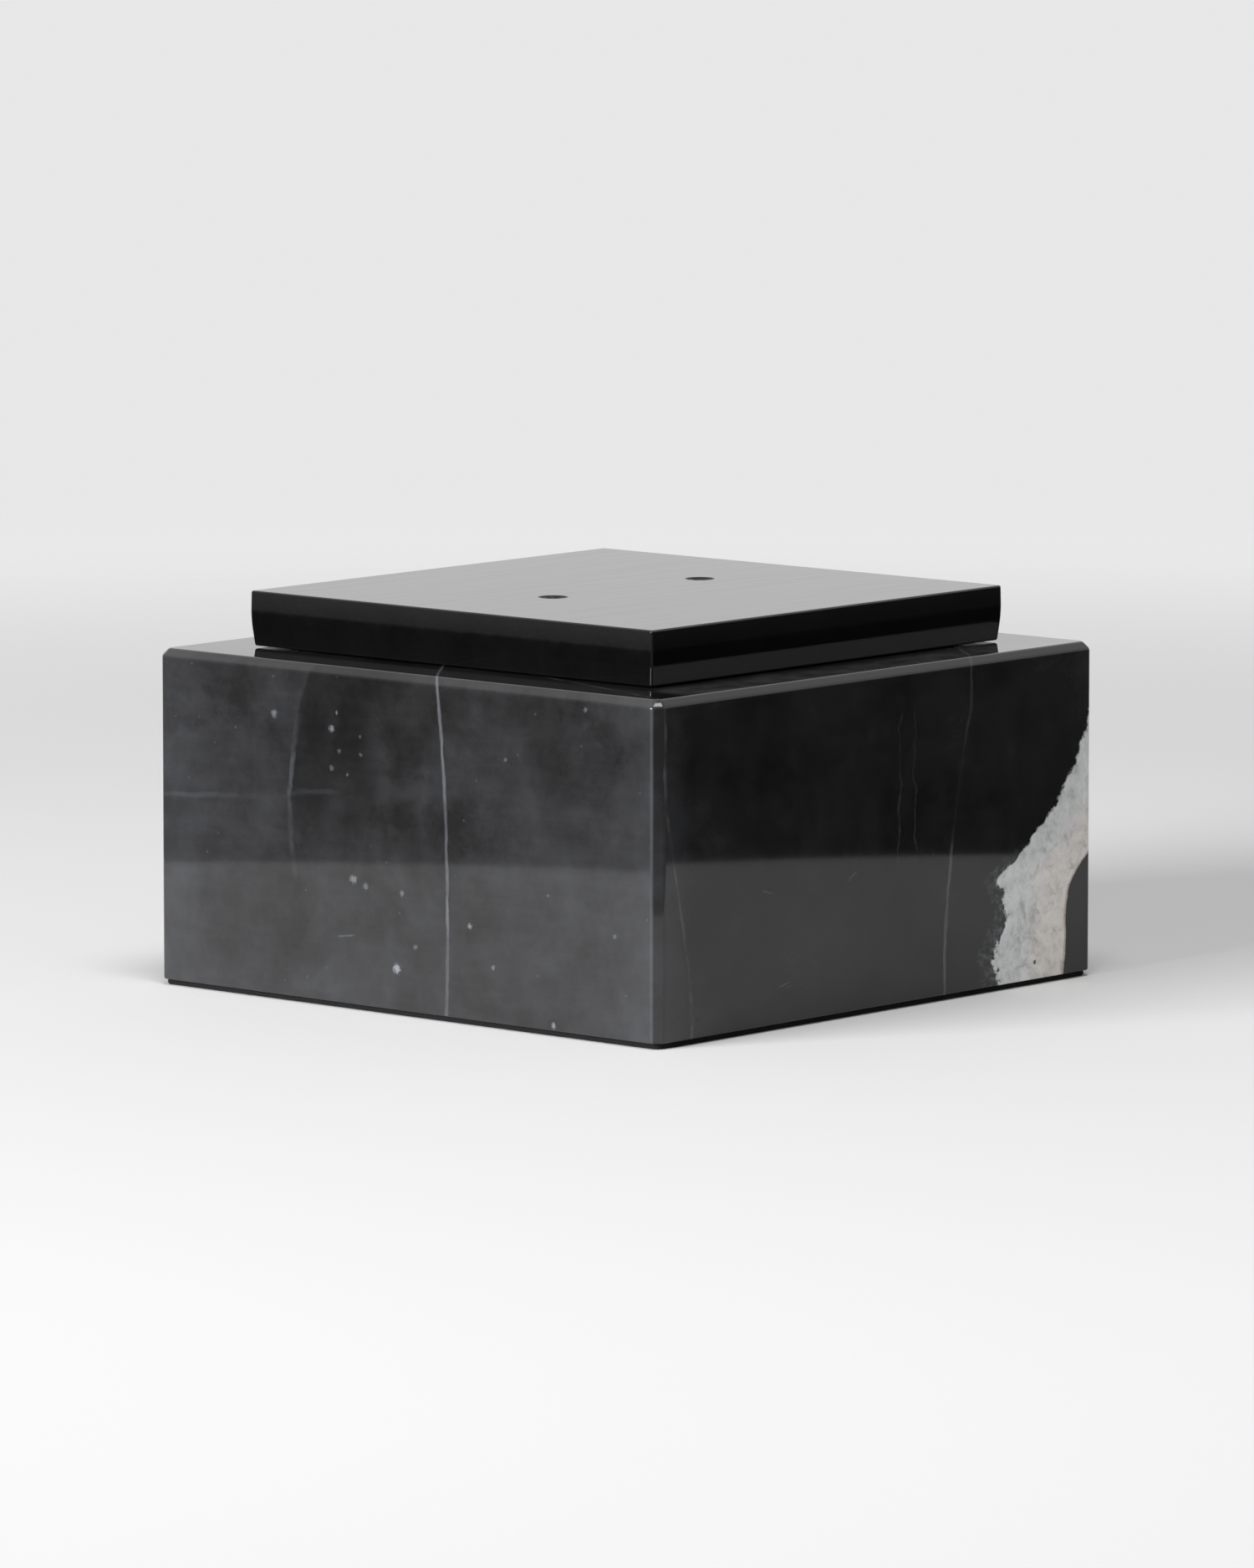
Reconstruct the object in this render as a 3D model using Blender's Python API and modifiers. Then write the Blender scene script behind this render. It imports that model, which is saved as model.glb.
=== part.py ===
"""A display plinth: a polished stone block that carries a stepped mounting plate.

Lengths are in metres and +Z is up. The origin is the middle of the footprint, on the plane
that the felt lies on. The plate is held down by studs that run through the stone to nuts in
counterbores in the underside, and it has two tapped holes for whatever is shown on it.
"""

import math

import bmesh
import bpy

# Fits between the pieces
SEAT_GAP = 0.0003  # between two pieces that rest on each other
THREAD_GAP = 0.0003  # between a thread and what it screws into, all round
STONE_CLEARANCE = 0.00075  # between a stud and its hole in the stone, all round
WASHER_CLEARANCE = 0.001  # between a flat washer and its counterbore, all round

# Stone block
BLOCK_SIDE = 0.150
BLOCK_HEIGHT = 0.075
BLOCK_CHAMFER = 0.002  # along the upright edges
BLOCK_TOP_CHAMFER = 0.0016  # along the upper edges
BLOCK_FOOT_CHAMFER = 0.0005  # along the lower edges
COUNTERBORE_MOUTH = 0.0006  # chamfer round the mouth of each counterbore

# Mounting plate
LEDGE = 0.015  # how far the plate stands in from the sides of the block
PLATE_THICKNESS = 0.0125
PLATE_RIDGE = 0.0061  # height on the plate at which its sides reach furthest out
PLATE_UNDERCUT = 0.00065  # how far the sides slope in from there to the underside
PLATE_DRAFT = 0.0001  # how far they slope in from there to the top
PLATE_ARRIS = 0.0005  # rounding along the other edges
STUD_HOLE_ROOF = 0.0035  # metal left above the blind tapped holes
DRILL_TIP = math.radians(118)  # cone angle at the end of a blind hole

# Studs and what is on them
STUD_DIAMETER = 0.005
STUD_EDGE = 0.020  # from the side of the plate to the axis of a stud
STUD_END_GAP = 0.0005  # between a stud and the end of its blind hole
STUD_CHAMFER = 0.0006
STUD_TAIL = 0.002  # how far a stud stands out of its nut
STUD_RECESS = 0.0045  # how far the end of a stud stays inside the underside
WASHER_RIM = 0.0032  # width of a flat washer, from its hole to its rim
WASHER_THICKNESS = 0.0012
SPRING_WIDTH = 0.0018  # width of a spring washer, from its hole to its rim
SPRING_THICKNESS = 0.0012
SPRING_SLIT = 0.0008
NUT_WALL = 0.0012  # from the hole of a nut to the middle of a flat
NUT_HEIGHT = 0.004
NUT_MOUTH = 0.0004  # countersink at both ends of the hole of a nut
NUT_CHAMFER = math.radians(30)  # slope that turns off the corners of a nut

# Screws that close the two holes for what is shown on the plate
EXHIBIT_SPACING = 0.050
EXHIBIT_SCREW_DIAMETER = 0.006
EXHIBIT_SCREW_SINK = 0.0003  # below the top of the plate
EXHIBIT_SCREW_END_GAP = 0.0017  # above the underside of the plate
EXHIBIT_SCREW_CHAMFER = 0.0005
EXHIBIT_HOLE_MOUTH = 0.0004  # countersink at the top of each hole
HEX_KEY = 0.003  # across the flats of the socket
HEX_SOCKET_DEPTH = 0.0035

# Felt under the stone
FELT_THICKNESS = 0.001
FELT_MARGIN = 0.0012  # how far it stays in from the sides of the block
FELT_CORNER = 0.0015  # how far its corners are cut off
FELT_EDGE = 0.00025  # chamfer round both faces
FELT_CLEARANCE = 0.0003  # between a punched hole and the counterbore over it, all round

# How finely shapes are divided, and how they are cut
TURN_STEPS = 32
SMALL_TURN_STEPS = 24
ROUND_SEGMENTS = 2
OVERCUT = 0.001  # how far a cutter reaches past the face that it opens
MERGE = 0.00001
SMOOTH_ANGLE = math.radians(35)

# Heights, from the floor up
BLOCK_BOTTOM = FELT_THICKNESS + SEAT_GAP
BLOCK_TOP = BLOCK_BOTTOM + BLOCK_HEIGHT
PLATE_BOTTOM = BLOCK_TOP + SEAT_GAP
PLATE_TOP = PLATE_BOTTOM + PLATE_THICKNESS
STUD_BOTTOM = BLOCK_BOTTOM + STUD_RECESS
NUT_BOTTOM = STUD_BOTTOM + STUD_TAIL
NUT_TOP = NUT_BOTTOM + NUT_HEIGHT
SPRING_BOTTOM = NUT_TOP + SEAT_GAP
SPRING_TOP = SPRING_BOTTOM + SPRING_THICKNESS
WASHER_BOTTOM = SPRING_TOP + SEAT_GAP
WASHER_TOP = WASHER_BOTTOM + WASHER_THICKNESS
COUNTERBORE_FLOOR = WASHER_TOP + SEAT_GAP
STUD_HOLE_END = PLATE_TOP - STUD_HOLE_ROOF
STUD_TOP = STUD_HOLE_END - STUD_END_GAP
EXHIBIT_SCREW_TOP = PLATE_TOP - EXHIBIT_SCREW_SINK
EXHIBIT_SCREW_BOTTOM = PLATE_BOTTOM + EXHIBIT_SCREW_END_GAP

# Radii and sides that follow from the sizes above
PLATE_SIDE = BLOCK_SIDE - 2 * LEDGE
STUD_RADIUS = STUD_DIAMETER / 2
TAPPED_RADIUS = STUD_RADIUS + THREAD_GAP
STONE_HOLE_RADIUS = STUD_RADIUS + STONE_CLEARANCE
WASHER_RADIUS = TAPPED_RADIUS + WASHER_RIM
COUNTERBORE_RADIUS = WASHER_RADIUS + WASHER_CLEARANCE
SPRING_RADIUS = TAPPED_RADIUS + SPRING_WIDTH
NUT_FLAT_RADIUS = TAPPED_RADIUS + NUT_WALL
NUT_CORNER_RADIUS = NUT_FLAT_RADIUS / math.cos(math.pi / 6)
EXHIBIT_SCREW_RADIUS = EXHIBIT_SCREW_DIAMETER / 2
EXHIBIT_HOLE_RADIUS = EXHIBIT_SCREW_RADIUS + THREAD_GAP
FELT_SIDE = BLOCK_SIDE - 2 * FELT_MARGIN
FELT_HOLE_RADIUS = COUNTERBORE_RADIUS + FELT_CLEARANCE
STUD_REACH = PLATE_SIDE / 2 - STUD_EDGE

MIDDLE = (0.0, 0.0, 0.0)


def around(angles, distance):
    """Places round the middle as X, Y and the turn about Z that faces outwards there."""
    return [(distance * math.cos(turn), distance * math.sin(turn), turn) for turn in angles]


CORNER_TURNS = [math.radians(45 + 90 * quarter) for quarter in range(4)]
STUD_PLACES = around(CORNER_TURNS, STUD_REACH * math.sqrt(2))
EXHIBIT_PLACES = around([0.0, math.pi], EXHIBIT_SPACING / 2)


def clear_scene():
    for old in list(bpy.data.objects):
        bpy.data.objects.remove(old)


def new_collection(name):
    collection = bpy.data.collections.new(name)
    bpy.context.scene.collection.children.link(collection)
    return collection


def finish(name, colour, roughness, metallic):
    """A surface with one colour, roughness and metallic value."""
    material = bpy.data.materials.new(name)
    material.use_nodes = True
    shader = material.node_tree.nodes["Principled BSDF"]
    shader.inputs["Base Color"].default_value = (*colour, 1.0)
    shader.inputs["Roughness"].default_value = roughness
    shader.inputs["Metallic"].default_value = metallic
    return material


def place_object(name, mesh, collection, place):
    """An object at a place that is given as X, Y and a turn about Z."""
    x, y, turn = place
    placed = bpy.data.objects.new(name, mesh)
    placed.location = (x, y, 0.0)
    placed.rotation_euler = (0.0, 0.0, turn)
    collection.objects.link(placed)
    return placed


def add_piece(name, mesh, material, place=MIDDLE):
    """One piece of the plinth, in its own material."""
    mesh.materials.clear()
    mesh.materials.append(material)
    mesh.shade_smooth()
    mesh.set_sharp_from_angle(angle=SMOOTH_ANGLE)
    piece = place_object(name, mesh, plinth, place)
    piece.parent = plinth_centre
    return piece


def add_copies(name, mesh, material, places):
    for number, place in enumerate(places, 1):
        add_piece(f"{name}_{number}", mesh, material, place)


def add_cutter(name, mesh, place=MIDDLE):
    cutter = place_object(name, mesh, cutters, place)
    cutter.hide_render = True
    cutter.display_type = "WIRE"
    return cutter


def combine(piece, other, operation="DIFFERENCE"):
    boolean = piece.modifiers.new(f"{operation} {other.name}", "BOOLEAN")
    boolean.operation = operation
    boolean.solver = "EXACT"
    boolean.object = other


def cut_copies(piece, name, mesh, places):
    for number, place in enumerate(places, 1):
        combine(piece, add_cutter(f"{name}_{number}", mesh, place))


def finished_mesh(piece):
    """The mesh of a piece with its modifiers applied, which its copies then share."""
    graph = bpy.context.evaluated_depsgraph_get()
    mesh = bpy.data.meshes.new_from_object(piece.evaluated_get(graph))
    mesh.name = piece.name
    bpy.data.objects.remove(piece)
    return mesh


def turned_mesh(name, profile, ring=False, steps=TURN_STEPS):
    """A profile of (radius, height) points, run down its outer side, turned about Z."""
    points = [(radius, 0.0, height) for radius, height in profile]
    edges = [(number, number + 1) for number in range(len(points) - 1)]
    if ring:
        edges.append((len(points) - 1, 0))
    mesh = bpy.data.meshes.new(name)
    mesh.from_pydata(points, edges, [])
    blank = place_object(name, mesh, cutters, MIDDLE)
    turn = blank.modifiers.new("Turn", "SCREW")
    turn.steps = steps
    turn.render_steps = steps
    turn.use_merge_vertices = True
    turn.merge_threshold = MERGE
    return finished_mesh(blank)


def rod_profile(radius, bottom, top, chamfer):
    """A solid rod with both ends chamfered."""
    return [
        (0.0, top),
        (radius - chamfer, top),
        (radius, top - chamfer),
        (radius, bottom + chamfer),
        (radius - chamfer, bottom),
        (0.0, bottom),
    ]


def ring_profile(inner, outer, bottom, top):
    return [(outer, top), (outer, bottom), (inner, bottom), (inner, top)]


def punch_mesh(name, radius, bottom, top):
    """A round cutter that goes right through a sheet between two heights."""
    punch = [
        (0.0, top + OVERCUT),
        (radius, top + OVERCUT),
        (radius, bottom - OVERCUT),
        (0.0, bottom - OVERCUT),
    ]
    return turned_mesh(name, punch, steps=SMALL_TURN_STEPS)


def box_mesh(name, side_x, side_y, bottom, top):
    """A box about Z between two heights."""
    mesh = bpy.data.meshes.new(name)
    shape = bmesh.new()
    bmesh.ops.create_cube(shape, size=1.0)
    bmesh.ops.scale(shape, verts=shape.verts, vec=(side_x, side_y, top - bottom))
    bmesh.ops.translate(shape, verts=shape.verts, vec=(0.0, 0.0, (top + bottom) / 2))
    shape.to_mesh(mesh)
    shape.free()
    return mesh


def hexagon_mesh(name, corner_radius, bottom, top):
    """A hexagonal bar about Z between two heights."""
    mesh = bpy.data.meshes.new(name)
    shape = bmesh.new()
    bmesh.ops.create_cone(
        shape,
        cap_ends=True,
        segments=6,
        radius1=corner_radius,
        radius2=corner_radius,
        depth=top - bottom,
    )
    bmesh.ops.translate(shape, verts=shape.verts, vec=(0.0, 0.0, (top + bottom) / 2))
    shape.to_mesh(mesh)
    shape.free()
    return mesh


def weigh_level_edges(mesh, top_share, foot_share):
    """Gives the level edges of a box a share of the chamfer that its upright edges get."""
    weights = mesh.attributes.new("bevel_weight_edge", "FLOAT", "EDGE")
    foot = min(point.co.z for point in mesh.vertices)
    for edge, weight in zip(mesh.edges, weights.data):
        first, second = (mesh.vertices[end].co.z for end in edge.vertices)
        if first != second:
            weight.value = 1.0
        else:
            weight.value = foot_share if first == foot else top_share


def build_block():
    """The stone, chamfered on every edge, with a stepped hole for each stud."""
    black_marble = finish("polished black marble", (0.03, 0.03, 0.032), 0.12, 0.0)
    mesh = box_mesh("marble_block", BLOCK_SIDE, BLOCK_SIDE, BLOCK_BOTTOM, BLOCK_TOP)
    weigh_level_edges(
        mesh, BLOCK_TOP_CHAMFER / BLOCK_CHAMFER, BLOCK_FOOT_CHAMFER / BLOCK_CHAMFER
    )
    block = add_piece("marble_block", mesh, black_marble)
    chamfer = block.modifiers.new("Chamfer", "BEVEL")
    chamfer.width = BLOCK_CHAMFER
    chamfer.limit_method = "WEIGHT"
    chamfer.segments = 1
    mouth_radius = COUNTERBORE_RADIUS + COUNTERBORE_MOUTH
    hole = [
        (0.0, BLOCK_TOP + OVERCUT),
        (STONE_HOLE_RADIUS, BLOCK_TOP + OVERCUT),
        (STONE_HOLE_RADIUS, COUNTERBORE_FLOOR),
        (COUNTERBORE_RADIUS, COUNTERBORE_FLOOR),
        (COUNTERBORE_RADIUS, BLOCK_BOTTOM + COUNTERBORE_MOUTH),
        (mouth_radius, BLOCK_BOTTOM),
        (mouth_radius, BLOCK_BOTTOM - OVERCUT),
        (0.0, BLOCK_BOTTOM - OVERCUT),
    ]
    cut_copies(block, "stone_hole", turned_mesh("stone_hole", hole), STUD_PLACES)


def ridged_plate_mesh():
    """A square plate whose sides reach furthest out along a ridge between its two faces."""
    mesh = box_mesh("mounting_plate", PLATE_SIDE, PLATE_SIDE, PLATE_BOTTOM, PLATE_TOP)
    shape = bmesh.new()
    shape.from_mesh(mesh)
    upright = [edge for edge in shape.edges if edge.verts[0].co.z != edge.verts[1].co.z]
    bmesh.ops.subdivide_edges(shape, edges=upright, cuts=1, use_grid_fill=True)
    for corner in shape.verts:
        height = corner.co.z - PLATE_BOTTOM
        if height < PLATE_THICKNESS / 4:
            inset = PLATE_UNDERCUT
        elif height > PLATE_THICKNESS * 3 / 4:
            inset = PLATE_DRAFT
        else:
            inset = 0.0
            corner.co.z = PLATE_BOTTOM + PLATE_RIDGE
        corner.co.x -= math.copysign(inset, corner.co.x)
        corner.co.y -= math.copysign(inset, corner.co.y)
    shape.to_mesh(mesh)
    shape.free()
    return mesh


def build_plate():
    """The plate, with a blind hole over each stud and two through holes for an exhibit."""
    black_lacquer = finish("gloss black lacquer", (0.006, 0.006, 0.007), 0.16, 0.0)
    plate = add_piece("mounting_plate", ridged_plate_mesh(), black_lacquer)
    rounding = plate.modifiers.new("Arris", "BEVEL")
    rounding.width = PLATE_ARRIS
    rounding.segments = ROUND_SEGMENTS
    tip_height = TAPPED_RADIUS / math.tan(DRILL_TIP / 2)
    blind_hole = [
        (0.0, STUD_HOLE_END + tip_height),
        (TAPPED_RADIUS, STUD_HOLE_END),
        (TAPPED_RADIUS, PLATE_BOTTOM - OVERCUT),
        (0.0, PLATE_BOTTOM - OVERCUT),
    ]
    blind_mesh = turned_mesh("stud_hole", blind_hole, steps=SMALL_TURN_STEPS)
    cut_copies(plate, "stud_hole", blind_mesh, STUD_PLACES)
    mouth_radius = EXHIBIT_HOLE_RADIUS + EXHIBIT_HOLE_MOUTH
    through_hole = [
        (0.0, PLATE_TOP + OVERCUT),
        (mouth_radius, PLATE_TOP + OVERCUT),
        (mouth_radius, PLATE_TOP),
        (EXHIBIT_HOLE_RADIUS, PLATE_TOP - EXHIBIT_HOLE_MOUTH),
        (EXHIBIT_HOLE_RADIUS, PLATE_BOTTOM - OVERCUT),
        (0.0, PLATE_BOTTOM - OVERCUT),
    ]
    through_mesh = turned_mesh("exhibit_hole", through_hole, steps=SMALL_TURN_STEPS)
    cut_copies(plate, "exhibit_hole", through_mesh, EXHIBIT_PLACES)


def build_studs():
    """Plain rods at the outer size of their thread."""
    steel = finish("zinc plated stud", (0.52, 0.52, 0.5), 0.35, 1.0)
    rod = rod_profile(STUD_RADIUS, STUD_BOTTOM, STUD_TOP, STUD_CHAMFER)
    mesh = turned_mesh("stud", rod, steps=SMALL_TURN_STEPS)
    add_copies("stud", mesh, steel, STUD_PLACES)


def build_flat_washers():
    steel = finish("zinc plated washer", (0.56, 0.56, 0.54), 0.3, 1.0)
    ring = ring_profile(TAPPED_RADIUS, WASHER_RADIUS, WASHER_BOTTOM, WASHER_TOP)
    mesh = turned_mesh("flat_washer", ring, ring=True)
    add_copies("flat_washer", mesh, steel, STUD_PLACES)


def build_spring_washers():
    """Rings that are cut through once, on the side that faces out."""
    steel = finish("spring steel", (0.3, 0.3, 0.3), 0.4, 1.0)
    ring = ring_profile(TAPPED_RADIUS, SPRING_RADIUS, SPRING_BOTTOM, SPRING_TOP)
    ring_mesh = turned_mesh("spring_washer", ring, ring=True, steps=SMALL_TURN_STEPS)
    blank = place_object("spring_washer", ring_mesh, cutters, MIDDLE)
    reach = SPRING_RADIUS + OVERCUT
    slit = box_mesh("slit", reach, SPRING_SLIT, SPRING_BOTTOM - OVERCUT, SPRING_TOP + OVERCUT)
    combine(blank, add_cutter("slit", slit, (reach / 2, 0.0, 0.0)))
    add_copies("spring_washer", finished_mesh(blank), steel, STUD_PLACES)


def build_nuts():
    """Hexagons whose corners are turned off at both ends, with a countersunk hole."""
    steel = finish("zinc plated nut", (0.58, 0.58, 0.56), 0.28, 1.0)
    bar_mesh = hexagon_mesh("hex_nut", NUT_CORNER_RADIUS, NUT_BOTTOM, NUT_TOP)
    blank = place_object("hex_nut", bar_mesh, cutters, MIDDLE)
    reach = NUT_CORNER_RADIUS + OVERCUT
    drop = (reach - NUT_FLAT_RADIUS) * math.tan(NUT_CHAMFER)
    turned_off = [
        (0.0, NUT_TOP),
        (NUT_FLAT_RADIUS, NUT_TOP),
        (reach, NUT_TOP - drop),
        (reach, NUT_BOTTOM + drop),
        (NUT_FLAT_RADIUS, NUT_BOTTOM),
        (0.0, NUT_BOTTOM),
    ]
    combine(blank, add_cutter("nut_corners", turned_mesh("nut_corners", turned_off)), "INTERSECT")
    mouth_radius = TAPPED_RADIUS + NUT_MOUTH
    hole = [
        (0.0, NUT_TOP + OVERCUT),
        (mouth_radius, NUT_TOP + OVERCUT),
        (mouth_radius, NUT_TOP),
        (TAPPED_RADIUS, NUT_TOP - NUT_MOUTH),
        (TAPPED_RADIUS, NUT_BOTTOM + NUT_MOUTH),
        (mouth_radius, NUT_BOTTOM),
        (mouth_radius, NUT_BOTTOM - OVERCUT),
        (0.0, NUT_BOTTOM - OVERCUT),
    ]
    combine(blank, add_cutter("nut_hole", turned_mesh("nut_hole", hole, steps=SMALL_TURN_STEPS)))
    add_copies("hex_nut", finished_mesh(blank), steel, STUD_PLACES)


def build_exhibit_screws():
    """Headless screws with a hexagon socket, which close the two holes in the plate."""
    steel = finish("black oxide steel", (0.02, 0.02, 0.02), 0.45, 1.0)
    rod = rod_profile(
        EXHIBIT_SCREW_RADIUS, EXHIBIT_SCREW_BOTTOM, EXHIBIT_SCREW_TOP, EXHIBIT_SCREW_CHAMFER
    )
    rod_mesh = turned_mesh("exhibit_screw", rod, steps=SMALL_TURN_STEPS)
    blank = place_object("exhibit_screw", rod_mesh, cutters, MIDDLE)
    key_corner = HEX_KEY / 2 / math.cos(math.pi / 6)
    socket_end = EXHIBIT_SCREW_TOP - HEX_SOCKET_DEPTH
    socket = hexagon_mesh("hex_socket", key_corner, socket_end, EXHIBIT_SCREW_TOP + OVERCUT)
    combine(blank, add_cutter("hex_socket", socket))
    add_copies("exhibit_screw", finished_mesh(blank), steel, EXHIBIT_PLACES)


def build_felt():
    """The sheet that the stone stands on, punched so that a wrench can reach the nuts."""
    felt = finish("dark grey felt", (0.035, 0.035, 0.037), 0.95, 0.0)
    mesh = box_mesh("felt_base", FELT_SIDE, FELT_SIDE, 0.0, FELT_THICKNESS)
    weigh_level_edges(mesh, FELT_EDGE / FELT_CORNER, FELT_EDGE / FELT_CORNER)
    sheet = add_piece("felt_base", mesh, felt)
    edge = sheet.modifiers.new("Edge", "BEVEL")
    edge.width = FELT_CORNER
    edge.limit_method = "WEIGHT"
    edge.segments = 1
    punch = punch_mesh("felt_hole", FELT_HOLE_RADIUS, 0.0, FELT_THICKNESS)
    cut_copies(sheet, "felt_hole", punch, STUD_PLACES)


clear_scene()
plinth = new_collection("display_plinth")
cutters = new_collection("cutters")
plinth_centre = bpy.data.objects.new("plinth_centre", None)
plinth.objects.link(plinth_centre)
build_block()
build_plate()
build_studs()
build_flat_washers()
build_spring_washers()
build_nuts()
build_exhibit_screws()
build_felt()
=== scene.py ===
import math

import bpy
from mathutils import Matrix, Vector


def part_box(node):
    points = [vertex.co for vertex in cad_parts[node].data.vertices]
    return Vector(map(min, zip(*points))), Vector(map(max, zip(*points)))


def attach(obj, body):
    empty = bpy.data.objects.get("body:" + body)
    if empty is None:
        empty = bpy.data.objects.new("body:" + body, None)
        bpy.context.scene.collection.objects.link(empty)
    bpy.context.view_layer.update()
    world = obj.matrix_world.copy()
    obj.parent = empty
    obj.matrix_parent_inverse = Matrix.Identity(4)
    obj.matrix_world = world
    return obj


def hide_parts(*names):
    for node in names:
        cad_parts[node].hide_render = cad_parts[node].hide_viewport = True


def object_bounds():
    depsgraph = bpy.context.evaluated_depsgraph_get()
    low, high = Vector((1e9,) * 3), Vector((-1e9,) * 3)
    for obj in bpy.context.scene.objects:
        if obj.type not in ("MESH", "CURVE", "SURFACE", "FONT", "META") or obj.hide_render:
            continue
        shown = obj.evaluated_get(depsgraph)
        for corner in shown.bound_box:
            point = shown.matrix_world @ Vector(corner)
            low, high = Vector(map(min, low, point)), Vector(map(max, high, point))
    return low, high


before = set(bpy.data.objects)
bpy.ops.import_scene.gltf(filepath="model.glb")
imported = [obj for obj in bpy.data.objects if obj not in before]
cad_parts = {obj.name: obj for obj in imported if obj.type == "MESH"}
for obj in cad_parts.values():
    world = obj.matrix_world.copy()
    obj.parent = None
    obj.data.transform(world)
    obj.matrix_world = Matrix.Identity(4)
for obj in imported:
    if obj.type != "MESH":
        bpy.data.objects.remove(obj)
cad_low, cad_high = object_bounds()

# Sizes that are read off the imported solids, in metres
block_low, block_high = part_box("marble_block")
plate_low, plate_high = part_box("mounting_plate")
felt_low, felt_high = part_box("felt_base")
stud_low, stud_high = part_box("stud_1")
washer_low, washer_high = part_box("flat_washer_1")
spring_low, spring_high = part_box("spring_washer_1")
nut_low, nut_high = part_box("hex_nut_1")
screw_low, screw_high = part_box("exhibit_screw_1")
stud_radius = (stud_high.x - stud_low.x) / 2
washer_radius = (washer_high.x - washer_low.x) / 2
spring_radius = (spring_high.x - spring_low.x) / 2
screw_radius = (screw_high.x - screw_low.x) / 2
BODY = "root"
MM = 0.001

# Stone
BLOCK_CHAMFER = 2 * MM
BLOCK_TOP_CHAMFER = 1.6 * MM
BLOCK_FOOT_ROUND = 0.5 * MM
BLOCK_ARRIS = 0.45 * MM
STONE_CLEARANCE = 0.75 * MM
COUNTERBORE_CLEARANCE = 1 * MM
COUNTERBORE_MOUTH = 0.6 * MM
SEAT_GAP = 0.3 * MM

# Plate
PLATE_RIDGE = 6.1 * MM
PLATE_UNDERCUT = 0.65 * MM
PLATE_DRAFT = 0.1 * MM
RIDGE_ROUND = 2.2 * MM
PLATE_ARRIS = 0.5 * MM
THREAD_GAP = 0.3 * MM
THREAD_FIT = 0.06 * MM
EXHIBIT_MOUTH = 0.4 * MM

# Felt, which reaches up to the stone
SEAM = 0.02 * MM
FELT_CORNER = 1.5 * MM
FELT_PULL = 0.2 * MM
FELT_FRAY = 0.12 * MM
FELT_STRIPS = 90
FELT_LAYERS = 3
FRAY_SEED = 3
FELT_CLEARANCE = 1.3 * MM

# Fasteners
STUD_PITCH = 0.8 * MM
STUD_CHAMFER = 0.6 * MM
SCREW_PITCH = 1 * MM
SCREW_CHAMFER = 0.5 * MM
THREAD_DEPTH = 0.613
THREAD_STEPS = 24
SPARE_TURNS = 4
NUT_FLAT_RADIUS = 4 * MM
NUT_CORNER_RADIUS = NUT_FLAT_RADIUS / math.cos(math.pi / 6)
NUT_FACE_RADIUS = 0.95 * NUT_FLAT_RADIUS
NUT_SLOPE = math.radians(30)
NUT_MOUTH = 0.4 * MM
NUT_ARRIS = 0.12 * MM
WASHER_ROUND = 0.2 * MM
SPRING_ROUND = 0.15 * MM
SPRING_SLIT = 0.8 * MM
SPRING_SLANT = math.radians(20)
HEX_KEY = 3 * MM
HEX_CORNER_RADIUS = HEX_KEY / 2 / math.cos(math.pi / 6)
HEX_DEPTH = 3.5 * MM
HEX_MOUTH = 0.3 * MM
HEX_TIP = 0.8 * MM

# How shapes are cut, merged and shaded
OVERCUT = 1 * MM
MERGE = 0.001 * MM
TINY = 0.01 * MM
HOLE_SIDES = 48
SMOOTH_ANGLE = math.radians(30)
ORIGIN = (0.0, 0.0, 0.0)
UPWARDS = (0.0, 0.0, 1.0)

# How strongly the two polished surfaces mirror the room
STONE_IOR = 1.455
LACQUER_IOR = 1.5

# The patterns of the stone work in millimetres. In their curves, 1 stands for this height or reach
CURVE_HEIGHT = 80.0
CURVE_REACH = 100.0
CLOUD_SQUEEZE = 0.55
PALE_SQUEEZE = 0.4
FINE_SCALE = 0.28

# Specks on the stone: how far along its side and how high, radius, and how bright
WHITE_SPECKS = (
    (38.6, 64.4, 0.9, 0.65),
    (21.2, 62.4, 0.8, 0.85),
    (19.6, 66.0, 0.41, 0.65),
    (12.6, 61.3, 0.38, 0.33),
    (18.9, 57.5, 0.56, 0.33),
    (12.4, 57.3, 0.46, 0.4),
    (21.2, 53.6, 0.65, 0.42),
    (16.5, 52.5, 0.39, 0.46),
    (14.8, 29.4, 1.03, 0.72),
    (11.1, 28.1, 0.82, 0.5),
    (0.1, 27.5, 0.66, 0.6),
    (-20.0, 22.1, 0.65, 0.9),
    (1.75, 10.6, 1.1, 1.3),
    (-26.9, 13.6, 0.57, 0.6),
    (-3.8, 15.9, 0.68, 0.45),
    (-30.6, 59.8, 0.52, 0.38),
    (-54.0, 72.7, 0.56, 0.48),
    (-62.5, 23.8, 0.62, 0.38),
    (-43.0, 31.0, 0.36, 0.44),
    (-44.6, 2.5, 0.7, 1.0),
)

# Dark clouds and pits: how far along, how high, and radius
DARK_CLOUDS = (
    (-2.0, 54.9, 3.5),
    (-5.0, 69.5, 9.0),
    (-5.0, 62.0, 7.0),
    (8.0, 71.0, 6.0),
    (1.0, 44.0, 3.5),
    (-14.0, 43.0, 5.0),
    (49.0, 67.0, 5.0),
    (-55.0, 71.0, 2.5),
    (-58.0, 68.0, 2.5),
    (-61.0, 65.0, 2.5),
    (70.0, 61.0, 4.0),
)
DARK_PITS = ((-61.9, 5.5, 0.6), (53.7, 5.3, 0.7), (40.8, 4.9, 0.6))

# Light scratches: how far along, how high, slope and half length
LEFT_SCRATCHES = ((17.0, 16.5, -0.15, 3.0),)
RIGHT_SCRATCHES = (
    (-38.75, 30.9, -0.3, 2.0),
    (-10.0, 31.5, 0.6, 1.8),
    (-33.0, 9.9, 0.2, 2.2),
    (-31.5, 9.2, 0.2, 0.8),
)

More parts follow.
